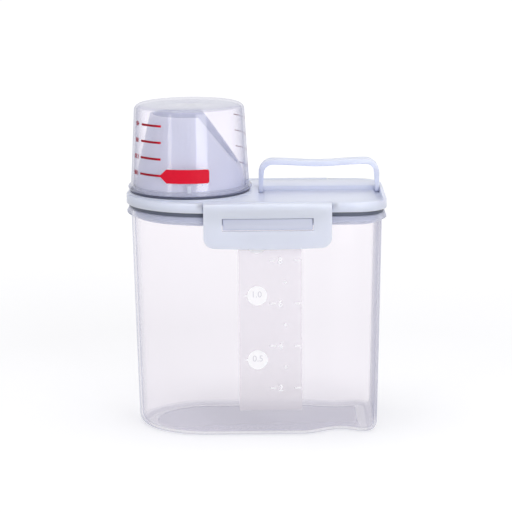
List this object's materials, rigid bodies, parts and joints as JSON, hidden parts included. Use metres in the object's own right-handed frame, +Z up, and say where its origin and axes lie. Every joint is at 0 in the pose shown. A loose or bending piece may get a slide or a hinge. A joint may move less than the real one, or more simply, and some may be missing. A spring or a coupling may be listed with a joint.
{
  "type": "laundry detergent dispenser",
  "caption": "Translucent countertop tub for powder, with a latched lid, a slanted pouring spout under an upside-down measuring cup, and a folding carry handle.",
  "frame": {"origin": "centre of the overall box, on the surface it stands on", "axes": "+X along the front to the handle's end, +Y to the back, +Z up"},
  "size_m": [0.182, 0.1098, 0.2296],
  "materials": {
    "frosted_tub": "translucent frosted polypropylene",
    "dark_seal": "dark grey soft seal, satin",
    "pale_blue_plastic": "pale blue-grey moulded plastic, soft gloss",
    "clear_cup": "clear, slightly hazy plastic, glossy",
    "red_ink": "printed red ink",
    "frosted_film": "frosted film",
    "white_ink": "white print"
  },
  "bodies": {
    "tub": {"container_body": "frosted_tub", "main_seal": "dark_seal", "lid": "pale_blue_plastic", "cup_seal": "dark_seal", "scale_strip": "frosted_film", "scale_marks": "white_ink"},
    "cup": {"measuring_cup": "clear_cup", "cup_scale_print": "red_ink"},
    "front_latch": {"front_latch": "pale_blue_plastic"},
    "rear_latch": {"rear_latch": "pale_blue_plastic"},
    "handle": {"carry_handle": "pale_blue_plastic"}
  },
  "joints": [
    {"name": "cup_lift", "type": "slide", "parent": "tub", "child": "cup", "axis": [0, 0, 1], "range_m": [0, 0.07]},
    {"name": "front_latch_hinge", "type": "hinge", "parent": "tub", "child": "front_latch", "pos_m": [0.0082, -0.0499, 0.165], "axis": [-1, 0, 0], "range_deg": [0, 110]},
    {"name": "rear_latch_hinge", "type": "hinge", "parent": "tub", "child": "rear_latch", "pos_m": [0.0082, 0.0499, 0.165], "axis": [1, 0, 0], "range_deg": [0, 110]},
    {"name": "handle_fold", "type": "hinge", "parent": "tub", "child": "handle", "pos_m": [0.0453, 0.014, 0.1652], "axis": [1, 0, 0], "range_deg": [0, 71]}
  ]
}
